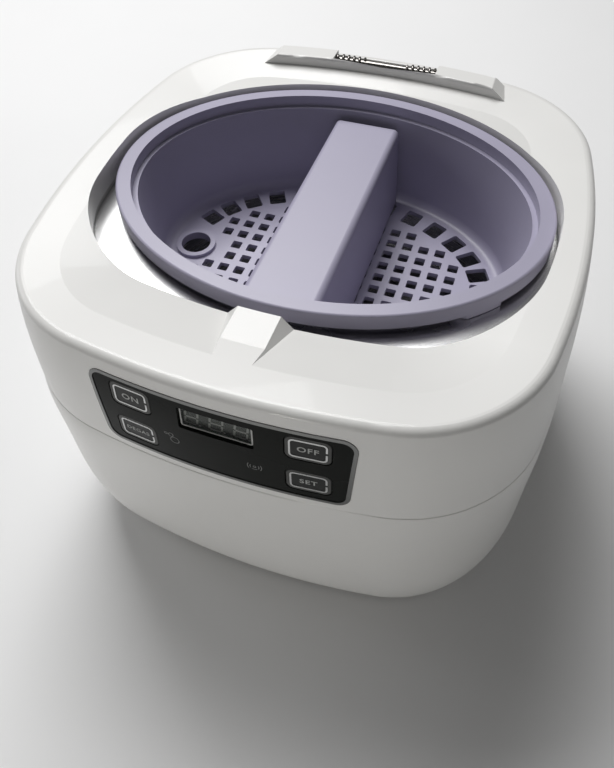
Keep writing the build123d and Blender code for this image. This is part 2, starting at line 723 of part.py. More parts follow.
with BuildPart() as tank_gasket:
    with BuildSketch(Plane.XY.offset(FLANGE_TOP_Z)):
        add(opening(FLANGE_W))
        add(opening(0.4), mode=Mode.SUBTRACT)
    extrude(amount=GASKET_T)
save(tank_gasket, "tank_gasket")

with BuildPart() as tank_clamps:
    for x, y in CLAMP_AT:
        with BuildSketch(Plane.XY.offset(FLANGE_TOP_Z - TANK_T)):
            with Locations((x, y)):
                RectangleRounded(CLAMP_W, CLAMP_L, 2.0)
                Circle(SCREW_D / 2 + FIT, mode=Mode.SUBTRACT)
        extrude(amount=-CLAMP_T)
save(tank_clamps, "tank_clamps")

with BuildPart() as clamp_screws:
    for x, y in CLAMP_AT:
        with BuildSketch(Plane.XY.offset(CLAMP_Z)):
            with Locations((x, y)):
                Circle(HEAD_D / 2)
        extrude(amount=-HEAD_H)
        with BuildSketch(Plane.XY.offset(CLAMP_Z)):
            with Locations((x, y)):
                Circle(SCREW_D / 2)
        extrude(amount=CLAMP_SCREW_L)
save(clamp_screws, "clamp_screws")

# ---------------------------------------------------------------- transducers
piezo_z = TANK_FLOOR_Z - HORN_H
stack_z = piezo_z - 2 * PIEZO_T - 2 * ELECTRODE_T
for side, name in ((-1, "left"), (1, "right")):
    x = side * DUCER_X
    with BuildPart() as horn:
        with BuildSketch(Plane.XY.offset(TANK_FLOOR_Z)):
            with Locations((x, TANK_Y)):
                Circle(HORN_D_TOP / 2)
        extrude(amount=-4)
        with BuildSketch(Plane.XY.offset(TANK_FLOOR_Z - 4)):
            with Locations((x, TANK_Y)):
                Circle(HORN_D_TOP / 2)
        with BuildSketch(Plane.XY.offset(piezo_z)):
            with Locations((x, TANK_Y)):
                Circle(HORN_D_LOW / 2)
        loft()
        with Locations((x, TANK_Y, piezo_z)):
            Cylinder(BOLT_D / 2, 2 * BOLT_IN_HORN, mode=Mode.SUBTRACT)
    save(horn, "transducer_horn_" + name)

    with BuildPart() as rings:
        for z in (piezo_z - PIEZO_T, stack_z):
            with BuildSketch(Plane.XY.offset(z)):
                with Locations((x, TANK_Y)):
                    Circle(PIEZO_D / 2)
                    Circle(PIEZO_BORE / 2, mode=Mode.SUBTRACT)
            extrude(amount=PIEZO_T)
    save(rings, "piezo_rings_" + name)

    with BuildPart() as electrodes:
        for z, tab_x in ((piezo_z - PIEZO_T - ELECTRODE_T, -LEAD_GAP / 2),
                         (stack_z - ELECTRODE_T, LEAD_GAP / 2)):
            with BuildSketch(Plane.XY.offset(z)):
                with Locations((x, TANK_Y)):
                    Circle(PIEZO_D / 2)
                with Locations((x + tab_x, TANK_Y - PIEZO_D / 2 - TAB_L / 2 + 2)):
                    Rectangle(TAB_W, TAB_L + 4)
                with Locations((x, TANK_Y)):
                    Circle(PIEZO_BORE / 2, mode=Mode.SUBTRACT)
            extrude(amount=ELECTRODE_T)
    save(electrodes, "electrodes_" + name)

    with BuildPart() as back_mass:
        with BuildSketch(Plane.XY.offset(stack_z - ELECTRODE_T)):
            with Locations((x, TANK_Y)):
                Circle(PIEZO_D / 2)
                Circle(BOLT_D / 2, mode=Mode.SUBTRACT)
        extrude(amount=-BACK_MASS_H)
        chamfer(back_mass.faces().sort_by(Axis.Z)[0].outer_wire().edges(), 1.0)
    save(back_mass, "back_mass_" + name)

    with BuildPart() as bolt:
        with BuildSketch(Plane.XY.offset(stack_z - ELECTRODE_T - BACK_MASS_H)):
            with Locations((x, TANK_Y)):
                RegularPolygon(BOLT_HEAD_D / 2, 6)
        extrude(amount=-BOLT_HEAD_H)
        with BuildSketch(Plane.XY.offset(stack_z - ELECTRODE_T - BACK_MASS_H)):
            with Locations((x, TANK_Y)):
                Circle(BOLT_D / 2)
        extrude(amount=BACK_MASS_H + 2 * PIEZO_T + 2 * ELECTRODE_T + BOLT_IN_HORN)
    save(bolt, "transducer_bolt_" + name)

# ---------------------------------------------------------------- driver board
BOARD_TOP = DRIVER_Z + BOARD_T
driver_mid_y = (DRIVER_Y[0] + DRIVER_Y[1]) / 2

with BuildPart() as driver_board:
    with BuildSketch(Plane.XY.offset(DRIVER_Z)):
        with Locations((0, driver_mid_y)):
            RectangleRounded(2 * DRIVER_HALF_W, DRIVER_Y[1] - DRIVER_Y[0], 2)
        with Locations(*DRIVER_POSTS):
            Circle(SCREW_D / 2 + FIT, mode=Mode.SUBTRACT)
    extrude(amount=BOARD_T)
save(driver_board, "driver_board")

with BuildPart() as board_screws:
    for x, y in DRIVER_POSTS:
        with BuildSketch(Plane.XY.offset(BOARD_TOP)):
            with Locations((x, y)):
                Circle(HEAD_D / 2)
        extrude(amount=HEAD_H)
        with BuildSketch(Plane.XY.offset(BOARD_TOP)):
            with Locations((x, y)):
                Circle(SCREW_D / 2)
        extrude(amount=-BOARD_SCREW_L)
save(board_screws, "board_screws")


for name, (x, y, width, depth, height, edge) in BLOCKS.items():
    with BuildPart() as piece:
        with BuildSketch(Plane.XY.offset(BOARD_TOP)):
            with Locations((x, y)):
                Rectangle(width, depth)
        extrude(amount=height)
        chamfer(piece.faces().sort_by(Axis.Z)[-1].edges(), edge)
    save(piece, name)

# Wound bobbin between the legs and the yoke of a ferrite core.
with BuildPart() as output_transformer:
    with BuildSketch(Plane.XY.offset(BOARD_TOP)):
        with Locations((CORE_X, CORE_Y)):
            Rectangle(BOBBIN_W, BOBBIN_D)
    extrude(amount=BOBBIN_T)
    with BuildSketch(Plane.XY.offset(BOARD_TOP + BOBBIN_T)):
        with Locations((CORE_X, CORE_Y)):
            RectangleRounded(WINDING_W, WINDING_D, CORE_LEG - 1)
            with GridLocations(WINDING_W + CORE_LEG, 0, 2, 1):
                Rectangle(CORE_LEG, CORE_D)
    extrude(amount=WINDING_H)
    with BuildSketch(Plane.XY.offset(BOARD_TOP + BOBBIN_T + WINDING_H)):
        with Locations((CORE_X, CORE_Y)):
            Rectangle(WINDING_W + 2 * CORE_LEG, CORE_D)
    extrude(amount=CORE_LEG)
save(output_transformer, "output_transformer")

with BuildPart() as bus_capacitor:
    with BuildSketch(Plane.XY.offset(BOARD_TOP)):
        with Locations((CAP_X, CAP_Y)):
            Circle(CAP_D / 2)
    extrude(amount=CAP_H)
    fillet(bus_capacitor.faces().sort_by(Axis.Z)[-1].edges(), CAP_EDGE_R)
save(bus_capacitor, "bus_capacitor")

with BuildPart() as heatsink:
    with BuildSketch(Plane.XY.offset(BOARD_TOP)):
        with Locations((SINK_X, SINK_Y)):
            Rectangle(SINK_T, SINK_L)
        with Locations((SINK_X + SINK_T / 2 + FIN_L / 2 - WELD, SINK_Y)):
            with GridLocations(0, FIN_PITCH, 1, FIN_COUNT):
                Rectangle(FIN_L, FIN_T)
    extrude(amount=SINK_H)
save(heatsink, "heatsink")

# Two cases flat against the heatsink, each on three legs.
sink_face = SINK_X - SINK_T / 2
with BuildPart() as power_transistors:
    for y in (SINK_Y - CASE_PITCH / 2, SINK_Y + CASE_PITCH / 2):
        with BuildSketch(Plane.YZ.offset(sink_face)):
            with Locations((y, BOARD_TOP + CASE_Z)):
                Rectangle(CASE_W, CASE_H)
        extrude(amount=-CASE_T)
        with BuildSketch(Plane.YZ.offset(sink_face - CASE_T / 2)):
            with Locations((y, BOARD_TOP + LEG_H / 2)):
                with GridLocations(LEG_PITCH, 0, 3, 1):
                    Rectangle(LEG_W, LEG_H)
        extrude(amount=LEG_T)
save(power_transistors, "power_transistors")

with BuildPart() as fuse:
    with BuildSketch(Plane.YZ.offset(FUSE_X - FUSE_L / 2)):
        with Locations((FUSE_Y, BOARD_TOP + FUSE_Z)):
            Circle(FUSE_D / 2)
    extrude(amount=FUSE_L)
    with BuildSketch(Plane.XY.offset(BOARD_TOP)):
        with Locations((FUSE_X, FUSE_Y)):
            with GridLocations(CLIP_SPAN, 0, 2, 1):
                Rectangle(CLIP_W, CLIP_D)
    extrude(amount=CLIP_H)
save(fuse, "fuse")

# ---------------------------------------------------------------- control board
with BuildPart() as control_board:
    with BuildSketch(Plane.XZ.offset(-BOARD_Y)):
        with Locations((0, PANEL_Z)):
            RectangleRounded(2 * BOARD_HALF_W, BOARD_H, 1.5)
        with Locations(*CONTROL_SCREWS):
            Circle(CONTROL_SCREW_D / 2 + FIT, mode=Mode.SUBTRACT)
    extrude(amount=-BOARD_T)
save(control_board, "control_board")

with BuildPart() as control_screws:
    for x, z in CONTROL_SCREWS:
        with BuildSketch(Plane.XZ.offset(-BOARD_Y - BOARD_T)):
            with Locations((x, z)):
                Circle(CONTROL_SCREW_D)
        extrude(amount=-1.6)
        with BuildSketch(Plane.XZ.offset(-BOARD_Y - BOARD_T)):
            with Locations((x, z)):
                Circle(CONTROL_SCREW_D / 2)
        extrude(amount=CONTROL_SCREW_L)
save(control_screws, "control_screws")

with BuildPart() as tact_switches:
    for x, z in KEYS.values():
        with BuildSketch(Plane.XZ.offset(-BOARD_Y)):
            with Locations((x, z)):
                RectangleRounded(SWITCH_SIZE, SWITCH_SIZE, 0.4)
        extrude(amount=SWITCH_H)
save(tact_switches, "tact_switches")

with BuildPart() as display_module:
    with BuildSketch(Plane.XZ.offset(-BOARD_Y)):
        with Locations((0, WINDOW_Z)):
            Rectangle(DISPLAY_W, DISPLAY_H)
    extrude(amount=DISPLAY_T)
save(display_module, "display_module")

with BuildPart() as indicator_lamps:
    for x, z in LAMP_AT:
        with BuildSketch(Plane.XZ.offset(-BOARD_Y)):
            with Locations((x, z)):
                Circle(LAMP_D / 2)
        extrude(amount=5.0)
        fillet(indicator_lamps.faces().sort_by(Axis.Y)[0].edges(), 1.2)
save(indicator_lamps, "indicator_lamps")

with BuildPart() as ribbon_socket:
    with BuildSketch(Plane.XZ.offset(-BOARD_Y - BOARD_T)):
        with Locations((0, RIBBON_Z)):
            Rectangle(20, 6)
    extrude(amount=-5)
save(ribbon_socket, "ribbon_socket")

# ---------------------------------------------------------------- panel face
with BuildPart() as panel_frame:
    add(skin(-FRAME_PROUD, PANEL_T))
    add(panel_prism(), mode=Mode.INTERSECT)
    add(panel_prism(-FRAME_W), mode=Mode.SUBTRACT)
save(panel_frame, "panel_frame")

with BuildPart() as panel_overlay:
    add(skin(0, PANEL_T))
    add(panel_prism(-FRAME_W), mode=Mode.INTERSECT)
    add(box_prism(0, WINDOW_Z, WINDOW_W, WINDOW_H, 0.8), mode=Mode.SUBTRACT)
    for x, z in KEYS.values():
        add(box_prism(x, z, KEY_W + 2 * KEY_GAP, KEY_H + 2 * KEY_GAP, KEY_R + KEY_GAP),
            mode=Mode.SUBTRACT)
save(panel_overlay, "panel_overlay")

with BuildPart() as display_window:
    add(skin(WINDOW_SINK, WINDOW_SINK + 1.0))
    add(box_prism(0, WINDOW_Z, WINDOW_W, WINDOW_H, 0.8), mode=Mode.INTERSECT)
save(display_window, "display_window")

for name, (x, z) in KEYS.items():
    with BuildPart() as key:
        add(skin(KEY_SINK, KEY_T))
        add(box_prism(x, z, KEY_W, KEY_H, KEY_R), mode=Mode.INTERSECT)
        with BuildSketch(Plane.XZ.offset(-BOARD_Y + SWITCH_H + KEY_TRAVEL + 0.05)):
            with Locations((x, z)):
                Circle(PLUNGER_D / 2)
        extrude(amount=-front_y(x, z) + BOARD_Y - SWITCH_H - KEY_TRAVEL - 1.0)
    save(key, name)

# ---------------------------------------------------------------- inlet and leads
with BuildPart() as inlet_socket:
    with BuildSketch(Plane.XZ.offset(-INLET_FACE_Y)):
        with Locations((0, INLET_Z)):
            RectangleRounded(INLET_FACE_W, INLET_FACE_H, 2)
    extrude(amount=-INLET_FACE_T)
    with BuildSketch(Plane.XZ.offset(-INLET_FACE_Y)):
        with Locations((0, INLET_Z)):
            Rectangle(INLET_BODY_W, INLET_BODY_H)
    extrude(amount=INLET_DEPTH)
    with BuildSketch(Plane.XZ.offset(-INLET_FACE_Y - INLET_FACE_T)):
        with Locations((0, INLET_Z)):
            SlotCenterToCenter(PIN_SPACING - 0.8, SLOT_8_D)
    extrude(amount=INLET_SLOT_L, mode=Mode.SUBTRACT)
save(inlet_socket, "inlet_socket")
inlet_back_y = INLET_FACE_Y - INLET_DEPTH

with BuildPart() as inlet_pins:
    for side in (-1, 1):
        with BuildSketch(Plane.XZ.offset(-INLET_FACE_Y - INLET_FACE_T + INLET_SLOT_L)):
            with Locations((side * PIN_SPACING / 2, INLET_Z)):
                Circle(INLET_PIN_D / 2)
        extrude(amount=-INLET_PIN_L)
save(inlet_pins, "inlet_pins")

with BuildPart() as mains_leads:
    for side in (-1, 1):
        x = side * LEAD_GAP / 2
        with BuildLine() as route:
            FilletPolyline((x, inlet_back_y, INLET_Z), (x, 54, INLET_Z), (x, 28, 15.0),
                           (x, 0, 15.0), (x, -12, 26.0), (x, HEADER_Y, 30.0),
                           (x, HEADER_Y, BOARD_TOP + HEADER_H), radius=4.0)
        with BuildSketch(route.line ^ 0):
            Circle(LEAD_D / 2)
        sweep()
save(mains_leads, "mains_leads")

with BuildPart() as panel_ribbon:
    with BuildLine() as route:
        FilletPolyline((0, BOARD_Y + BOARD_T + 5, RIBBON_Z), (0, RIBBON_TURN_Y, RIBBON_Z),
                       (0, RIBBON_TURN_Y, 60), (0, RIBBON_Y, 45),
                       (0, RIBBON_Y, BOARD_TOP + BLOCKS["panel_header"][4]), radius=3.0)
    with BuildSketch(Plane.XZ.offset(-BOARD_Y - BOARD_T - 5)):
        with Locations((0, RIBBON_Z)):
            Rectangle(RIBBON_W, RIBBON_T)
    sweep(path=route.line)
save(panel_ribbon, "panel_ribbon")

with BuildPart() as transducer_leads:
    for side in (-1, 1):
        for tab, low in ((-LEAD_GAP / 2, piezo_z - PIEZO_T - ELECTRODE_T),
                         (LEAD_GAP / 2, stack_z - ELECTRODE_T)):
            x = side * DUCER_X + tab
            start_y = TANK_Y - PIEZO_D / 2 - TAB_L
            end_x = side * LEAD_END_X + tab * 0.5
            top_z = BOARD_TOP + BLOCKS["transducer_header"][4]
            with BuildLine() as route:
                FilletPolyline((x, start_y, low + ELECTRODE_T / 2),
                               (x, start_y - 7, low + ELECTRODE_T / 2),
                               (end_x, HEADER_Y - 14, low + ELECTRODE_T / 2),
                               (end_x, HEADER_Y - 14, top_z), radius=2.2)
            with BuildSketch(route.line ^ 0):
                Circle(THIN_LEAD_D / 2)
            sweep()
save(transducer_leads, "transducer_leads")

# ---------------------------------------------------------------- basket
band_low = RIM_TOP_Z - BAND_H
band_half_w = BASKET_HALF_W + BAND_OUT
band_half_d = BASKET_HALF_D + BAND_OUT
with BuildPart() as basket_inside:
    add(ellipse_form((BASKET_FLOOR_Z, BASKET_FLOOR_HALF_W - BASKET_T, BASKET_FLOOR_HALF_D - BASKET_T),
                     (RIM_TOP_Z, BASKET_HALF_W - BASKET_T, BASKET_HALF_D - BASKET_T)))
    fillet(basket_inside.faces().sort_by(Axis.Z)[0].edges(), BASKET_FLOOR_R - BASKET_T)
    with BuildSketch(Plane.XY.offset(band_low + BASKET_T)):
        with Locations((0, TANK_Y)):
            Ellipse(band_half_w - BASKET_T, band_half_d - BASKET_T)
    extrude(amount=BAND_H - BASKET_T)

with BuildPart() as basket:
    add(ellipse_form((BASKET_FLOOR_Z - BASKET_FLOOR_T, BASKET_FLOOR_HALF_W, BASKET_FLOOR_HALF_D),
                     (RIM_TOP_Z, BASKET_HALF_W, BASKET_HALF_D)))
    fillet(basket.faces().sort_by(Axis.Z)[0].edges(), BASKET_FLOOR_R)
    # Rim with its turned-down skirt, and the wider band of wall inside the skirt.
    with BuildSketch(Plane.XY.offset(RIM_TOP_Z)):
        with Locations((0, TANK_Y)):
            Ellipse(RIM_HALF_W, RIM_HALF_D)
    extrude(amount=-SKIRT_H)
    fillet(basket.faces().sort_by(Axis.Z)[-1].edges(), RIM_EDGE_R)
    with BuildSketch(Plane.XY.offset(RIM_TOP_Z - RIM_T)):
        with Locations((0, TANK_Y)):
            Ellipse(RIM_HALF_W - RIM_T, RIM_HALF_D - RIM_T)
            Ellipse(BASKET_HALF_W, BASKET_HALF_D, mode=Mode.SUBTRACT)
    extrude(amount=-SKIRT_H, mode=Mode.SUBTRACT)
    with BuildSketch(Plane.XY.offset(RIM_TOP_Z - RIM_T)):
        with Locations((0, TANK_Y)):
            Ellipse(band_half_w, band_half_d)
    extrude(amount=-BAND_H + RIM_T)
    # Four rests under the rim that stand on the tank flange.
    with BuildSketch(Plane.XY.offset(FLANGE_TOP_Z + REST_CLEAR)):
        with Locations((0, TANK_Y)):
            Ellipse(RIM_HALF_W - 0.3, RIM_HALF_D - 0.3)
            Ellipse(BASKET_HALF_W - 0.6, BASKET_HALF_D - 0.6, mode=Mode.SUBTRACT)
            Rectangle(2 * RIM_HALF_W, 2 * REST_Y - REST_L, mode=Mode.SUBTRACT)
            with Locations((0, REST_Y + REST_L / 2 + RIM_HALF_D), (0, -REST_Y - REST_L / 2 - RIM_HALF_D)):
                Rectangle(2 * RIM_HALF_W, 2 * RIM_HALF_D, mode=Mode.SUBTRACT)
    extrude(amount=RIM_TOP_Z - RIM_T - FLANGE_TOP_Z - REST_CLEAR + WELD)
    add(basket_inside.part, mode=Mode.SUBTRACT)
    # Raised lip of the round port.
    with BuildSketch(Plane.XY.offset(BASKET_FLOOR_Z - WELD)):
        with Locations((PORT_X, PORT_Y)):
            Circle(PORT_D / 2 + PORT_LIP)
    extrude(amount=PORT_H + WELD)
    with BuildSketch(Plane.XY.offset(BASKET_FLOOR_Z + PORT_H)):
        with Locations((PORT_X, PORT_Y)):
            Circle(PORT_D / 2)
    extrude(amount=-PORT_H - BASKET_FLOOR_T, mode=Mode.SUBTRACT)
    # Square holes in the middle of the floor and a ring of larger ones round them.
    with BuildSketch(Plane.XY.offset(BASKET_FLOOR_Z)):
        with Locations(*GRID_SPOTS):
            RectangleRounded(GRID_HOLE, GRID_HOLE, 0.6)
        for x, y, turn in RING_SPOTS:
            with Locations(Location((x, y, 0), turn)):
                RectangleRounded(RING_HOLE_W, RING_HOLE_D, 1.0)
    extrude(amount=-BASKET_FLOOR_T, mode=Mode.SUBTRACT)
save(basket, "basket")

# ---------------------------------------------------------------- watch stand
stand_low = BASKET_FLOOR_Z + STAND_CLEAR
stand_reach = STAND_HALF_L + STAND_END_LEAN
with BuildPart() as watch_stand:
    with BuildSketch(Plane.XZ.offset(-TANK_Y - stand_reach)):
        with BuildLine():
            Polyline((-STAND_HALF_W - STAND_LEAN, stand_low), (STAND_HALF_W + STAND_LEAN, stand_low),
                     (STAND_HALF_W, STAND_TOP_Z), (-STAND_HALF_W, STAND_TOP_Z), close=True)
        make_face()
    extrude(amount=2 * stand_reach)
    fillet(watch_stand.edges().filter_by(Axis.Y).group_by(Axis.Z)[-1], 2.5)
    # Ends that follow the slope of the basket wall.
    with BuildSketch(Plane.YZ.offset(-STAND_HALF_W - STAND_LEAN - 1)):
        with BuildLine():
            Polyline((TANK_Y - STAND_HALF_L, stand_low), (TANK_Y + STAND_HALF_L, stand_low),
                     (TANK_Y + stand_reach, STAND_TOP_Z), (TANK_Y - stand_reach, STAND_TOP_Z),
                     close=True)
        make_face()
    extrude(amount=2 * (STAND_HALF_W + STAND_LEAN + 1), mode=Mode.INTERSECT)
    with BuildSketch(Plane.XZ.offset(-TANK_Y - stand_reach - 1)):
        with BuildLine():
            Polyline((-STAND_HALF_W - STAND_LEAN + STAND_T, stand_low - 1),
                     (STAND_HALF_W + STAND_LEAN - STAND_T, stand_low - 1),
                     (STAND_HALF_W - STAND_T, STAND_TOP_Z - STAND_T),
                     (-STAND_HALF_W + STAND_T, STAND_TOP_Z - STAND_T), close=True)
        make_face()
    extrude(amount=2 * stand_reach + 2, mode=Mode.SUBTRACT)
save(watch_stand, "watch_stand")
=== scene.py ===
# %% Load the fixed frame
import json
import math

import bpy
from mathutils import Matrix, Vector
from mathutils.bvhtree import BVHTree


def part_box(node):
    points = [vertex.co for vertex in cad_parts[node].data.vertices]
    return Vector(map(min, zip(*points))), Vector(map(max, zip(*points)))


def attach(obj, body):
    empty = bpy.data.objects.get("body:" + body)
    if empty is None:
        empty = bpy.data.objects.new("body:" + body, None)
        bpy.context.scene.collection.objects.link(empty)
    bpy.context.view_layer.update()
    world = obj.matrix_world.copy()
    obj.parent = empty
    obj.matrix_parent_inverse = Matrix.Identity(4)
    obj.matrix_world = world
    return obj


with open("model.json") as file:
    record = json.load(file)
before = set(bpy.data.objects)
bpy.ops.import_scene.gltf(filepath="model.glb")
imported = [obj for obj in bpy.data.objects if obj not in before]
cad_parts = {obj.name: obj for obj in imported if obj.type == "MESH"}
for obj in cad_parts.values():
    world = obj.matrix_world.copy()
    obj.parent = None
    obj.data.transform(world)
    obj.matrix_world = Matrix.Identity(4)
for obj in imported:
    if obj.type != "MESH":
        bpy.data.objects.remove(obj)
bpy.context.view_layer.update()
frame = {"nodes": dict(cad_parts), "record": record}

# %% [markdown]
# # An ultrasonic cleaner, finished
# The solid model arrives as a frame of named pieces that never move. This lesson gives each piece
# its finish, adds the small printed and moulded details of the control panel, and lights the whole
# like a product on a pale table. We first set the millimetre as the unit of every size below.

MM = 0.001

# %% [markdown]
# ## Writing shader maths as plain expressions
# A finish is easier to read as `0.4 + (grain - 0.5) * 0.1` than as a chain of Math nodes. One small
# class wraps a socket and turns each operator into its node. The reflected forms let a plain number
# stand on the left, so `1 - mask` works too.

# %% A socket that can be used in a sum
class Value:
    """A shader output that plain numbers and other outputs can be combined with."""

    def __init__(self, finish, socket):
        self.finish = finish
        self.socket = socket

    def maths(self, operation, first, second):
        return self.finish.node("ShaderNodeMath", {"operation": operation}, {0: first, 1: second})

    def __add__(self, other):
        return self.maths("ADD", self, other)

    def __sub__(self, other):
        return self.maths("SUBTRACT", self, other)

    def __rsub__(self, other):
        return self.maths("SUBTRACT", other, self)

    def __mul__(self, other):
        return self.maths("MULTIPLY", self, other)

    def __gt__(self, other):
        return self.maths("GREATER_THAN", self, other)

    def __lt__(self, other):
        return self.maths("LESS_THAN", self, other)

    __radd__ = __add__
    __rmul__ = __mul__


# %% A finish, and the one way to add a node to it
class Finish:
    """A material being made: its nodes and its main shader."""

    made = {}

    def __init__(self, name, **constants):
        self.material = bpy.data.materials.new(name)
        self.material.use_nodes = True
        self.tree = self.material.node_tree
        self.shader = self.tree.nodes["Principled BSDF"]
        for socket, value in constants.items():
            self.shader.inputs[socket.replace("_", " ")].default_value = value
        Finish.made[name] = self

    def node(self, kind, settings, sockets, out=0):
        """Add a node of a kind, set it up, fill its sockets, and return one of its outputs."""
        new = self.tree.nodes.new(kind)
        for name, value in settings.items():
            setattr(new, name, value)
        for name, value in sockets.items():
            self.fill(new.inputs[name], value)
        return Value(self, new.outputs[out])

    def fill(self, socket, value):
        if isinstance(value, Value):
            self.tree.links.new(value.socket, socket)
        else:
            socket.default_value = value

    def feed(self, **sockets):
        """Link values that change over the surface into the main shader."""
        for name, value in sockets.items():
            self.fill(self.shader.inputs[name.replace("_", " ")], value)

    def mix(self, factor, first, second):
        """Blend two colours."""
        return self.node("ShaderNodeMix", {"data_type": "RGBA"}, {0: factor, 6: first, 7: second}, 2)


# %% [markdown]
# ## Patterns measured in millimetres
# A texture that is sized in real units keeps its scale on every piece. Object coordinates are used
# because each piece's object sits at the origin, so the pattern also travels with a moving piece.
# Stretching the coordinates along one direction turns even grain into brushed streaks.

# %% Grain, position and relief
CLOUD_MM = 38.0
BROAD_MM = 22.0
SMEAR_MM = 6.0


def grain(finish, size_mm, detail=3.0, stretch=(1, 1, 1)):
    """Soft noise from 0 to 1 whose cells are about size_mm across."""
    place = finish.node("ShaderNodeTexCoord", {}, {}, "Object")
    place = finish.node("ShaderNodeVectorMath", {"operation": "MULTIPLY"}, {0: place, 1: stretch})
    return finish.node("ShaderNodeTexNoise", {},
                       {"Vector": place, "Scale": 1 / (size_mm * MM), "Detail": detail}, "Fac")


def along(finish, axis):
    """Distance along an axis, in millimetres."""
    place = finish.node("ShaderNodeTexCoord", {}, {}, "Object")
    return finish.node("ShaderNodeSeparateXYZ", {}, {0: place}, axis) * (1 / MM)


def relief(finish, height, depth_mm):
    """Turn a height from 0 to 1 into small bumps of the surface."""
    return finish.node("ShaderNodeBump", {},
                       {"Strength": 1.0, "Distance": depth_mm * MM, "Height": height}, "Normal")


def shade(colour, factor):
    """A lighter or darker version of a colour, with full alpha."""
    return tuple(min(1.0, channel * factor) for channel in colour[:3]) + (1.0,)


# %% [markdown]
# ## Moulded plastic
# Injection-moulded plastic is never one flat colour. It has a very slight cloudiness from the
# melt, and a fine spark-eroded grain copied from the mould, which breaks up the gloss. Both come
# from noise at two scales: CLOUD_MM for the cloudiness, and each plastic's own grain. The two shells
# and the basket are moulded this way, and so are the keys, the feet and the connectors.

# %% The moulded finishes
def moulded(name, colour, rough, grain_mm=0.45, depth_mm=0.012, cloud=0.03, **constants):
    finish = Finish(name, **constants)
    cloudy = grain(finish, CLOUD_MM)
    fine = grain(finish, grain_mm, 5.0)
    finish.feed(
        Base_Color=finish.mix(cloudy, shade(colour, 1 - cloud), shade(colour, 1 + cloud)),
        Roughness=rough + (cloudy - 0.5) * 0.10 + (fine - 0.5) * 0.12,
        Normal=relief(finish, fine, depth_mm))


moulded("white_abs", (0.80, 0.795, 0.775), 0.36, Coat_Weight=0.10)
moulded("lavender_pp", (0.40, 0.38, 0.49), 0.38, 0.6, cloud=0.05)
moulded("silicone", (0.60, 0.60, 0.57), 0.55, 0.8)
moulded("foot_rubber", (0.030, 0.030, 0.033), 0.78, 0.5, 0.03, 0.15)
moulded("key_black", (0.012, 0.013, 0.012), 0.42, 0.3, 0.006, 0.10, Specular_IOR_Level=0.25)
moulded("connector_white", (0.70, 0.69, 0.62), 0.45)
moulded("component_black", (0.018, 0.018, 0.019), 0.52, 0.35, 0.02, 0.12)
moulded("lead_jacket", (0.022, 0.022, 0.024), 0.50, 0.5, 0.015, 0.12)
moulded("capacitor_sleeve", (0.020, 0.035, 0.075), 0.25, 1.2, 0.004, 0.10, Coat_Weight=0.4)
moulded("piezo_ceramic", (0.46, 0.44, 0.40), 0.40, 0.35, 0.02, 0.08, Metallic=0.3)
moulded("display_grey", (0.085, 0.095, 0.086), 0.50, 0.5, 0.005, 0.06)
moulded("panel_black", (0.0075, 0.0085, 0.0072), 0.20, 0.9, 0.0015, 0.15, Specular_IOR_Level=0.06)
print(len(Finish.made), "moulded finishes")

# %% [markdown]
# ## Metal
# What tells one metal from another at this size is the direction of its marks. Sheet that was
# drawn and polished has long faint lines; a turned part has rings; a plated wire is smooth with
# small pits. Stretched noise gives all of these, feeding roughness and a very shallow relief. The
# tank is pressed from stainless sheet, the hinge spring is wound wire, and the horns are turned.

# %% The metal finishes
def metal(name, colour, rough, stretch, marks=0.14, depth_mm=0.004, size_mm=0.9):
    finish = Finish(name, Metallic=1.0)
    lines = grain(finish, size_mm, 6.0, stretch)
    broad = grain(finish, BROAD_MM)
    finish.feed(
        Base_Color=finish.mix(broad, shade(colour, 0.94), shade(colour, 1.05)),
        Roughness=rough + (lines - 0.5) * marks + (broad - 0.5) * 0.06,
        Normal=relief(finish, lines, depth_mm))


metal("stainless", (0.62, 0.62, 0.62), 0.26, (0.05, 0.05, 1))
metal("dark_steel", (0.21, 0.20, 0.19), 0.20, (0.06, 1, 1), 0.12, 0.003)
metal("plated_steel", (0.60, 0.58, 0.53), 0.34, (1, 1, 0.3))
metal("panel_silver", (0.20, 0.202, 0.198), 0.30, (0.08, 1, 1), 0.10)
metal("aluminium", (0.76, 0.76, 0.77), 0.30, (0.3, 0.3, 1), 0.16, 0.006)
metal("brass", (0.72, 0.49, 0.19), 0.30, (1, 0.1, 1))

# %% [markdown]
# ## Finishes with a pattern of their own
# A circuit board shows copper tracks under its green lacquer, a ribbon cable its separate
# conductors, and a wound transformer a band of yellow tape between dark ferrite. Each is a mask
# made from position, used to choose between two colours and to raise the surface a little. On the
# ribbon the two greys are painted shade and a painted highlight: darker in the grooves between the
# conductors, lighter on their crowns.

# %% Circuit board, ribbon and ferrite
TRACKS_PER_M = 260.0
TRACK_EDGE = 0.09
board = Finish("board_green", Coat_Weight=0.5)
cells = board.node("ShaderNodeTexVoronoi", {"feature": "DISTANCE_TO_EDGE"}, {"Scale": TRACKS_PER_M})
tracks = cells < TRACK_EDGE
board.feed(Base_Color=board.mix(tracks, (0.010, 0.075, 0.026, 1), (0.022, 0.165, 0.055, 1)),
           Roughness=0.30 + tracks * 0.10, Normal=relief(board, tracks, 0.035))

CONDUCTOR_HALF = 0.5
ribbon = Finish("ribbon_grey")
groove_and_painted_shade = ribbon.node("ShaderNodeMath", {"operation": "PINGPONG"},
                     {0: along(ribbon, "X"), 1: CONDUCTOR_HALF})
# painted shade and highlight: the grey darkens into the grooves between conductors and lightens on
# their crowns
ribbon.feed(Base_Color=ribbon.mix(groove_and_painted_shade * 2, (0.20, 0.20, 0.21, 1), (0.46, 0.46, 0.47, 1)),
            Roughness=0.55 + groove_and_painted_shade * 0.1, Normal=relief(ribbon, groove_and_painted_shade, 0.3))

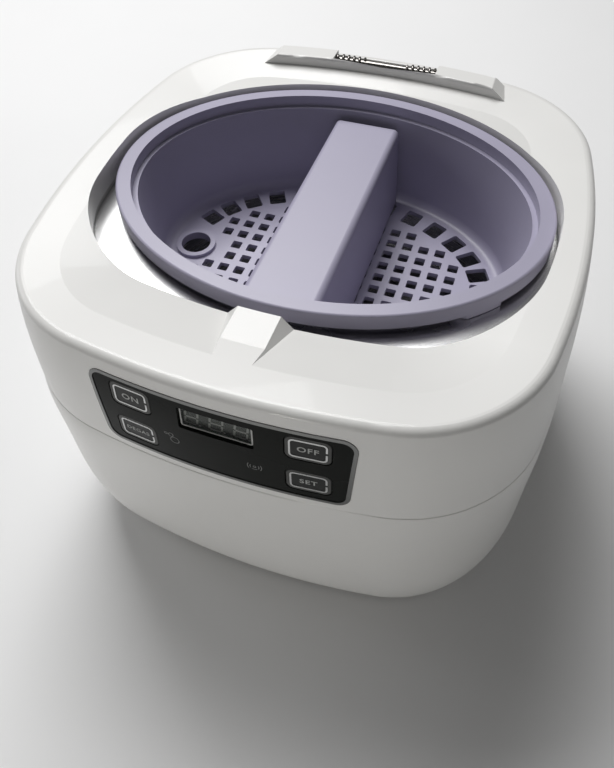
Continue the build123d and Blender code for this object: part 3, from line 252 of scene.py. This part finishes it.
TAPE_ABOVE_FOOT = 4
TAPE_BELOW_TOP = 7
ferrite = Finish("ferrite")
core_low, core_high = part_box("output_transformer")
height = along(ferrite, "Z")
tape = (height > (core_low.z / MM + TAPE_ABOVE_FOOT)) * (height < (core_high.z / MM - TAPE_BELOW_TOP))
specks = grain(ferrite, 0.4)
ferrite.feed(Base_Color=ferrite.mix(tape, (0.030, 0.029, 0.028, 1), (0.62, 0.42, 0.06, 1)),
             Roughness=0.60 - tape * 0.25 + (specks - 0.5) * 0.1, Normal=relief(ferrite, specks, 0.02))

# %% [markdown]
# ## Clear parts
# The window over the digits is smoked acrylic. Thin clear plastic bends light so little that plain
# transparency is enough: it is quicker than refraction, and the digits behind stay sharp. A faint
# change in alpha stands for the wipe marks that clear plastic always has.

# %% The clear finishes
def clear(name, colour, alpha, rough):
    finish = Finish(name, IOR=1.49)
    smear = grain(finish, SMEAR_MM)
    finish.feed(Base_Color=finish.mix(smear, shade(colour, 0.9), shade(colour, 1.1)),
                Alpha=alpha + (smear - 0.5) * 0.04, Roughness=rough + (smear - 0.5) * 0.05)


clear("smoked_clear", (0.05, 0.056, 0.052), 0.14, 0.08)
clear("fuse_glass", (0.80, 0.83, 0.83), 0.35, 0.06)
clear("lamp_clear", (0.62, 0.66, 0.70), 0.75, 0.18)

# %% [markdown]
# ## Dressing the frame
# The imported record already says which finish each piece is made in. Assigning by that list keeps
# the picture and the record in step, and a piece whose finish is missing stops the script.

# %% Give every piece its finish
for row in frame["record"]["subparts"]:
    slots = frame["nodes"][row["node"]].data.materials
    slots.clear()
    slots.append(Finish.made[row["material_slot"]].material)

# %% [markdown]
# ## Laying marks on the bowed panel
# The panel is bowed, so flat drawings would sink into it. Each point of a drawing is instead
# dropped straight back onto the real surface, and lifted a few hundredths of a millimetre. All the
# marks are then drawn flat, in width and height, which keeps them easy to describe.

# %% Find the surface behind a point of a drawing
AHEAD_OF_ALL = -0.3


def laid_on(node):
    """A function from (x, z, lift) in millimetres to a point on or just ahead of a piece's front."""
    mesh = frame["nodes"][node].data
    tree = BVHTree.FromPolygons([v.co for v in mesh.vertices], [p.vertices for p in mesh.polygons])

    def onto(x, z, lift):
        hit = tree.ray_cast(Vector((x * MM, AHEAD_OF_ALL, z * MM)), Vector((0, 1, 0)))[0]
        if hit is None:
            raise ValueError(f"nothing behind {x:.1f}, {z:.1f}")
        return hit - Vector((0, lift * MM, 0))

    return onto


def centre(node):
    """Middle of a piece across the panel, in millimetres."""
    low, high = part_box(node)
    return (low.x + high.x) / 2 / MM, (low.z + high.z) / 2 / MM


# %% [markdown]
# ### Strokes
# An outline, an icon or a digit's segment is a line with a width. A stroke is built as a strip of
# quads with a side wall, so that it stands up like raised print and catches the light on its edge.


def sides(points, closed, width):
    """The left and right edges of a line of a given width."""
    count = len(points)
    left, right = [], []
    for i, here in enumerate(points):
        before = points[(i - 1) % count] if closed or i else here
        after = points[(i + 1) % count] if closed or i < count - 1 else here
        way = (Vector(after) - Vector(before)).normalized()
        across = Vector((-way.y, way.x)) * width / 2
        left.append(Vector(here) + across)
        right.append(Vector(here) - across)
    return left, right


def strokes(name, lines, width, onto, lift, finish, body, depth=0.08):
    """One piece from several (points, closed) lines, laid on a surface."""
    vertices, faces = [], []
    for points, closed in lines:
        left, right = sides(points, closed, width)
        first = len(vertices)
        for a, b in zip(left, right):
            top_a, top_b = onto(a.x, a.y, lift), onto(b.x, b.y, lift)
            back = Vector((0, depth * MM, 0))
            vertices += [top_a, top_b, top_b + back, top_a + back]
        count = len(points)
        for i in range(count if closed else count - 1):
            p, q = first + 4 * i, first + 4 * ((i + 1) % count)
            faces += [(p + k, q + k, q + (k + 1) % 4, p + (k + 1) % 4) for k in range(4)]
        if not closed:
            end = first + 4 * (count - 1)
            faces += [(first, first + 1, first + 2, first + 3), (end + 3, end + 2, end + 1, end)]
    return piece(name, vertices, faces, finish, body)


def piece(name, vertices, faces, finish, body):
    """A mesh object that rides on a body, with its faces turned outwards."""
    mesh = bpy.data.meshes.new(name)
    mesh.from_pydata(vertices, [], faces)
    mesh.update()
    made = bpy.data.objects.new(name, mesh)
    bpy.context.scene.collection.objects.link(made)
    mesh.materials.append(Finish.made[finish].material)
    bpy.context.view_layer.objects.active = made
    made.select_set(True)
    bpy.ops.object.mode_set(mode="EDIT")
    bpy.ops.mesh.select_all(action="SELECT")
    bpy.ops.mesh.normals_make_consistent(inside=False)
    bpy.ops.object.mode_set(mode="OBJECT")
    made.select_set(False)
    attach(made, body)
    return made


def arc(x, z, radius, start=0, end=360, steps=28):
    """Points round part of a circle, in degrees."""
    turns = [math.radians(start + (end - start) * i / steps) for i in range(steps + 1)]
    return [(x + radius * math.cos(t), z + radius * math.sin(t)) for t in turns]


def rounded(x, z, width, height, radius, steps=6):
    """Points round a rectangle with round corners, starting at its right side."""
    reach_x, reach_z = width / 2 - radius, height / 2 - radius
    points = []
    for side_x, side_z, start in ((1, 1, 0), (-1, 1, 90), (-1, -1, 180), (1, -1, 270)):
        points += arc(x + side_x * reach_x, z + side_z * reach_z, radius, start, start + 90, steps)
    return points


# %% [markdown]
# ## The keys
# Each key is a dark moulding with a bright plated outline, standing inside a wider grey surround.
# The outline is broken at its right-hand side, where the plating was held. All of this is on the
# key itself, so it rides on the key's own body and goes in when the key is pressed.

# %% Finishes for the keys' marks
metal("key_outline", (0.56, 0.565, 0.56), 0.28, (1, 1, 0.1), 0.10)
moulded("key_surround", (0.070, 0.071, 0.068), 0.42, 0.5, 0.004, 0.08, Specular_IOR_Level=0.25)
moulded("legend_ink", (0.43, 0.44, 0.43), 0.48, 0.2, 0.004, 0.06)
moulded("icon_ink", (0.16, 0.165, 0.16), 0.48, 0.2, 0.003, 0.06)
moulded("digit_segment", (0.42, 0.44, 0.41), 0.40, 0.4, 0.004, 0.05)
moulded("window_ledge", (0.50, 0.505, 0.49), 0.42, 0.4, 0.006, 0.04)

# %% [markdown]
# ### Legends
# The words are printed on the keys. They are cut from the built-in type as a mesh, so that they are
# real shapes and not a picture, then widened a little and laid on the key point by point.

# %% Lettering bent to the surface
LETTER_WIDEN = 1.12
LETTER_SPACING = 1.12
LETTER_WEIGHT = 0.012
LETTER_DEPTH = 0.03


def lettering(name, words, x, z, size, onto, lift, finish, body):
    """Short words, cut from the built-in type and laid on a surface."""
    curve = bpy.data.curves.new(name + "_type", "FONT")
    curve.body = words
    curve.size = size
    curve.align_x = curve.align_y = "CENTER"
    curve.offset = size * LETTER_WEIGHT
    curve.space_character = LETTER_SPACING
    curve.resolution_u = 4
    curve.extrude = LETTER_DEPTH
    flat = bpy.data.objects.new(name + "_type", curve)
    mesh = bpy.data.meshes.new_from_object(flat)
    left = min(v.co.x for v in mesh.vertices)
    right = max(v.co.x for v in mesh.vertices)
    low = min(v.co.y for v in mesh.vertices)
    high = max(v.co.y for v in mesh.vertices)
    vertices = [onto(x + (v.co.x - (left + right) / 2) * LETTER_WIDEN,
                     z + v.co.y - (low + high) / 2, lift + v.co.z) for v in mesh.vertices]
    faces = [tuple(face.vertices) for face in mesh.polygons]
    bpy.data.objects.remove(flat)
    bpy.data.curves.remove(curve)
    return piece(name, vertices, faces, finish, body)


# %% [markdown]
# ### Marking the four keys
# One loop marks every key, because the keys differ only in their word. The surround goes round the
# outline, wider by SURROUND_GROW, and the word is centred by its own box and not by its letters.

# %% Outline, surround and legend of each key
OUTLINE_W, OUTLINE_H, OUTLINE_R = 11.6, 7.8, 1.3
OUTLINE_LINE, OUTLINE_LIFT, OUTLINE_BREAK = 0.62, 0.14, 0.5
SURROUND_GROW, SURROUND_LINE, SURROUND_LIFT = 1.75, 0.85, 0.06
SURROUND_R = OUTLINE_R + 0.8
LEGEND_LIFT = 0.05
LEGENDS = {"button_on": ("ON", 3.5), "button_off": ("OFF", 3.3),
           "button_set": ("SET", 3.1), "button_degas": ("DEGAS", 2.35)}
for key, (words, size) in LEGENDS.items():
    onto = laid_on(key)
    x, z = centre(key)
    ring = rounded(x, z, OUTLINE_W, OUTLINE_H, OUTLINE_R)
    right = x + OUTLINE_W / 2
    broken = [(right, z + OUTLINE_BREAK)] + ring + [(right, z - OUTLINE_BREAK)]
    strokes(key + "_outline", [(broken, False)], OUTLINE_LINE, onto, OUTLINE_LIFT, "key_outline", key)
    band = rounded(x, z, OUTLINE_W + SURROUND_GROW, OUTLINE_H + SURROUND_GROW, SURROUND_R)
    strokes(key + "_surround", [(band, True)], SURROUND_LINE, onto, SURROUND_LIFT, "key_surround", key)
    lettering(key + "_legend", words, x, z, size, onto, LEGEND_LIFT, "legend_ink", key)
print(len(LEGENDS), "keys lettered")

# %% [markdown]
# ## The two indicator marks
# Under the display a group of bubbles and a sounding dot show which programme is running. They are
# thin print on the gloss panel, much dimmer than the legends because their lamps are off.

# %% Bubbles and waves
PRINT_LIFT = 0.03
BUBBLE_LINE, WAVE_LINE = 0.24, 0.26
BUBBLE_X, BUBBLE_Z = -15.5, 111.0
BUBBLES = ((0, 0, 1.55), (-1.1, 2.5, 0.85), (-2.9, 2.6, 0.5))
WAVE_X, WAVE_Z = 12.4, 110.0
DOT_R, WAVE_RADII = 0.45, (1.5, 2.4)
on_panel = laid_on("panel_overlay")

bubbles = [(arc(BUBBLE_X + dx, BUBBLE_Z + dz, radius)[:-1], True) for dx, dz, radius in BUBBLES]
strokes("bubble_mark", bubbles, BUBBLE_LINE, on_panel, PRINT_LIFT, "icon_ink", "casing")

waves = [(arc(WAVE_X, WAVE_Z, DOT_R)[:-1], True)]
for radius in WAVE_RADII:
    for start, end in ((-35, 35), (145, 215)):
        waves.append((arc(WAVE_X, WAVE_Z, radius, start, end, 10), False))
waves.append((arc(WAVE_X, WAVE_Z, WAVE_RADII[0], 235, 305, 10), False))
strokes("wave_mark", waves, WAVE_LINE, on_panel, PRINT_LIFT, "icon_ink", "casing")

# %% [markdown]
# ## The display
# Behind the window stand three unlit digits, each of seven slanted segments and a point. The
# segments are pale on the grey face of the display module. A thin pale ledge lines the window, and is
# laid on the window's bowed front in the same way as the other marks.

# %% The window's ledge
glass_low, glass_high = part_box("display_window")
win_x0, win_x1 = glass_low.x / MM, glass_high.x / MM
win_z0, win_z1 = glass_low.z / MM, glass_high.z / MM
LEDGE_LINE, LEDGE_INSET, LEDGE_R = 0.5, 0.75, 0.6
middle_x, middle_z = (win_x0 + win_x1) / 2, (win_z0 + win_z1) / 2
edge = rounded(middle_x, middle_z, win_x1 - win_x0 - 2 * LEDGE_INSET,
               win_z1 - win_z0 - 2 * LEDGE_INSET, LEDGE_R)
strokes("window_ledge", [(edge, True)], LEDGE_LINE, laid_on("display_window"), PRINT_LIFT,
        "window_ledge", "casing")
print("window", round(win_x1 - win_x0, 1), "by", round(win_z1 - win_z0, 1), "mm")

# %% [markdown]
# ### The digits
# A digit is three level bars and four uprights, leaning by SLANT. The loops below list its bars from
# those rules, so a digit of another size needs only new values.

# %% Three digits of seven segments
DIGIT_H, DIGIT_W, PITCH, SLANT = 7.0, 4.3, 8.5, math.tan(math.radians(8))
BAR_GAP, BAR_LINE, POINT_R, POINT_LINE = 0.35, 0.72, 0.22, 0.42
POINT_ASIDE, DIGITS_ASIDE, DIGITS_ABOVE_FOOT = 0.95, -0.85, 0.6
BAR_LIFT, BAR_DEPTH = 0.04, 0.03
module_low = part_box("display_module")[0]
digit_z = module_low.z / MM + DIGIT_H / 2 + DIGITS_ABOVE_FOOT
short, half = DIGIT_W / 2 - BAR_GAP, DIGIT_H / 2


def slanted(x, points):
    return [(x + px + pz * SLANT, digit_z + pz) for px, pz in points]


segments, stops = [], []
for column in (-1, 0, 1):
    x = column * PITCH + DIGITS_ASIDE
    for level in (-half, 0, half):
        segments.append((slanted(x, [(-short, level), (short, level)]), False))
    for side in (-DIGIT_W / 2, DIGIT_W / 2):
        for low, high in ((-half + BAR_GAP, -BAR_GAP), (BAR_GAP, half - BAR_GAP)):
            segments.append((slanted(x, [(side, low), (side, high)]), False))
    point_x = x + DIGIT_W / 2 + POINT_ASIDE - half * SLANT
    stops.append((arc(point_x, digit_z - half, POINT_R)[:-1], True))


def on_face(x, z, lift):
    return Vector((x * MM, module_low.y - lift * MM, z * MM))


strokes("digit_segments", segments, BAR_LINE, on_face, BAR_LIFT, "digit_segment", "casing", BAR_DEPTH)
strokes("digit_points", stops, POINT_LINE, on_face, BAR_LIFT, "digit_segment", "casing", BAR_DEPTH)
print(len(segments), "segments and", len(stops), "points")

# %% [markdown]
# ## Table and light
# A product picture needs a table that fades into its background, and light that shows form without
# hard shadows. A large soft source above and behind brightens the deck and leaves the front face
# darker, and a small low one in front puts the soft glow on the lower front.

# %% The table
MOTTLE_MM = 120.0
TABLE_SIZE = 8.0
table = Finish("pale_table")
mottle = grain(table, MOTTLE_MM)
table.feed(Base_Color=table.mix(mottle, (0.86, 0.86, 0.86, 1), (0.90, 0.90, 0.90, 1)),
           Roughness=0.75 + (mottle - 0.5) * 0.1)
bpy.ops.mesh.primitive_plane_add(size=TABLE_SIZE)
floor = bpy.context.object
floor.name = "table_top"
floor.data.materials.append(table.material)

# %% [markdown]
# ### The lights
# Each lamp is a square of light, because a large source gives the soft edges of a studio shot. The
# sky is kept low, so that it only lifts the shadows. The plain view transform keeps the difference
# between the bright deck and the darker front, which a filmic one would flatten.

# %% Soft boxes and sky
LIT_POINT = Vector((0, 0, 0.08))
SKY_STRENGTH = 0.09


def soft_box(name, place, size, watts, colour=(1, 1, 1)):
    """A square light aimed at the middle of the cleaner."""
    lamp = bpy.data.lights.new(name, "AREA")
    lamp.size = size
    lamp.energy = watts
    lamp.color = colour
    made = bpy.data.objects.new(name, lamp)
    made.location = place
    made.rotation_euler = (LIT_POINT - Vector(place)).to_track_quat("-Z", "Y").to_euler()
    bpy.context.scene.collection.objects.link(made)


soft_box("overhead", (-0.40, 0.52, 1.15), 0.7, 14.8)
soft_box("left_fill", (-1.2, 0.05, 0.50), 0.5, 1.8, (0.97, 0.98, 1.0))
soft_box("front_glow", (-0.02, -0.50, 0.10), 0.05, 0.25, (1.0, 0.98, 0.94))
sky = bpy.data.worlds.new("studio")
sky.use_nodes = True
sky.node_tree.nodes["Background"].inputs["Color"].default_value = (1, 1, 1, 1)
sky.node_tree.nodes["Background"].inputs["Strength"].default_value = SKY_STRENGTH
bpy.context.scene.world = sky
bpy.context.scene.view_settings.view_transform = "Standard"

# %% [markdown]
# ## The camera
# The view looks down on the cleaner from its front right. The picture is upright, so the sensor
# width belongs to its long side. A small vertical shift leaves room under the object without
# tilting the camera further.

# %% Place the camera
SENSOR, FOCAL, SHIFT_Y = 36.0, 36.046875, -0.16276041666666666
EYE = Vector((76.41, -215.61, 325.94)) * MM
AHEAD = Vector((-0.25779, 0.66710, -0.69894)).normalized()
ROLL = math.radians(-2.21)
level = AHEAD.cross(Vector((0, 0, 1))).normalized()
upright = level.cross(AHEAD)
across = level * math.cos(ROLL) + upright * math.sin(ROLL)
up = upright * math.cos(ROLL) - level * math.sin(ROLL)
lens = bpy.data.cameras.new("camera")
lens.sensor_width = SENSOR
lens.lens = FOCAL
lens.shift_y = SHIFT_Y
lens.clip_start = 0.01
camera = bpy.data.objects.new("camera", lens)
camera.matrix_world = Matrix((across, up, -AHEAD)).transposed().to_4x4()
camera.location = EYE
bpy.context.scene.collection.objects.link(camera)
bpy.context.scene.camera = camera
print("lens", round(lens.lens, 2), "mm, shift", round(lens.shift_y, 3))
